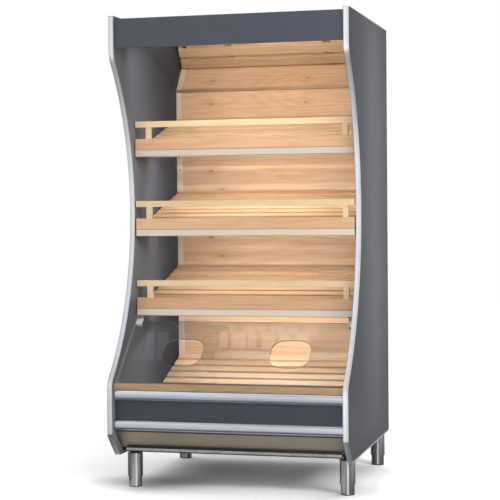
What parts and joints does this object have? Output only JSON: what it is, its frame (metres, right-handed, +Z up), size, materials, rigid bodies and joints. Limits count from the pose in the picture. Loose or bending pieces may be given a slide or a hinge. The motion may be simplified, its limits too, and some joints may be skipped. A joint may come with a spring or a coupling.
{
  "type": "bakery shelving rack",
  "caption": "Free-standing bread rack with slanted slatted shelves, a slatted bin behind a clear pane with hand holes, a mirrored canopy and levelling feet.",
  "frame": {"origin": "on the floor, under the middle of the rack's width and depth", "axes": "+Z up, -Y towards the customer in front of the rack, +X to the customer's right"},
  "size_m": [1.04, 1, 2.035],
  "materials": {
    "laminate_grey": "grey laminated board, satin",
    "laminate_dark": "dark blue-grey laminated board, satin",
    "beech": "clear-lacquered beech",
    "beech_light": "clear-lacquered light beech",
    "aluminium_trim": "satin anodised",
    "bumper_aluminium": "blue-grey satin anodised",
    "steel_brushed": "brushed stainless steel",
    "beige_paint": "beige-grey powder coat",
    "grey_paint": "grey powder coat",
    "strip_plastic": "beige matt extrusion",
    "black_plastic": "black moulded nylon",
    "white_plastic": "white moulded",
    "diffuser": "opal lamp cover",
    "mirror": "silvered mirror",
    "clear_pane": "clear polished sheet"
  },
  "bodies": {
    "cabinet": {"side_panel_left": "laminate_grey", "side_panel_right": "laminate_grey", "edge_trim_left": "aluminium_trim", "edge_trim_right": "aluminium_trim", "fascia_panel": "laminate_dark", "roof_panel": "laminate_grey", "canopy_lamp": "aluminium_trim", "canopy_lamp_cover": "diffuser", "lamp_driver": "white_plastic", "mirror": "mirror", "mirror_backing": "beech", "mirror_ledge": "aluminium_trim", "rear_panel": "laminate_grey", "back_wall": "beech", "uprights": "beige_paint", "deck_slats": "beech_light", "deck_bearers": "beech", "bin_lip": "beech_light", "bin_lining": "beech", "front_panel": "laminate_dark", "bumper_upper": "bumper_aluminium", "bumper_lower": "bumper_aluminium", "kick_plate": "steel_brushed", "base_floor": "steel_brushed", "base_front_rail": "steel_brushed", "base_frame_rails": "steel_brushed", "leg_blocks": "black_plastic", "leg_tubes": "steel_brushed", "pane_hinges": "grey_paint", "power_inlet": "black_plastic"},
    "pane": {"pane": "clear_pane", "pane_clips": "white_plastic"},
    "shelf_1": {"shelf_1_slats": "beech_light", "shelf_1_arms": "beige_paint", "shelf_1_bearers": "beech", "shelf_1_front_board": "beech_light", "shelf_1_price_strip": "strip_plastic", "shelf_1_rail": "beech_light", "shelf_1_lamp": "aluminium_trim", "shelf_1_lamp_cover": "diffuser"},
    "shelf_2": {"shelf_2_slats": "beech_light", "shelf_2_arms": "beige_paint", "shelf_2_bearers": "beech", "shelf_2_front_board": "beech_light", "shelf_2_price_strip": "strip_plastic", "shelf_2_rail": "beech_light", "shelf_2_lamp": "aluminium_trim", "shelf_2_lamp_cover": "diffuser"},
    "shelf_3": {"shelf_3_slats": "beech_light", "shelf_3_arms": "beige_paint", "shelf_3_bearers": "beech", "shelf_3_front_board": "beech_light", "shelf_3_price_strip": "strip_plastic", "shelf_3_rail": "beech_light", "shelf_3_lamp": "aluminium_trim", "shelf_3_lamp_cover": "diffuser"},
    "foot_front_left": {"foot_front_left": "steel_brushed"},
    "foot_front_right": {"foot_front_right": "steel_brushed"},
    "foot_rear_left": {"foot_rear_left": "steel_brushed"},
    "foot_rear_right": {"foot_rear_right": "steel_brushed"}
  },
  "joints": [
    {"name": "pane_hinge", "type": "hinge", "parent": "cabinet", "child": "pane", "pos_m": [0, -0.176, 0.72], "axis": [-1, 0, 0], "range_deg": [0, 45]},
    {"name": "shelf_1_tilt", "type": "hinge", "parent": "cabinet", "child": "shelf_1", "pos_m": [0, 0.438, 0.90984], "axis": [-1, 0, 0], "range_deg": [0, 12]},
    {"name": "shelf_2_tilt", "type": "hinge", "parent": "cabinet", "child": "shelf_2", "pos_m": [0, 0.438, 1.26084], "axis": [-1, 0, 0], "range_deg": [0, 12]},
    {"name": "shelf_3_tilt", "type": "hinge", "parent": "cabinet", "child": "shelf_3", "pos_m": [0, 0.438, 1.61184], "axis": [-1, 0, 0], "range_deg": [0, 12]},
    {"name": "foot_front_left_level", "type": "slide", "parent": "cabinet", "child": "foot_front_left", "axis": [0, 0, 1], "range_m": [-0.03, 0]},
    {"name": "foot_front_right_level", "type": "slide", "parent": "cabinet", "child": "foot_front_right", "axis": [0, 0, 1], "range_m": [-0.03, 0]},
    {"name": "foot_rear_left_level", "type": "slide", "parent": "cabinet", "child": "foot_rear_left", "axis": [0, 0, 1], "range_m": [-0.03, 0]},
    {"name": "foot_rear_right_level", "type": "slide", "parent": "cabinet", "child": "foot_rear_right", "axis": [0, 0, 1], "range_m": [-0.03, 0]}
  ]
}
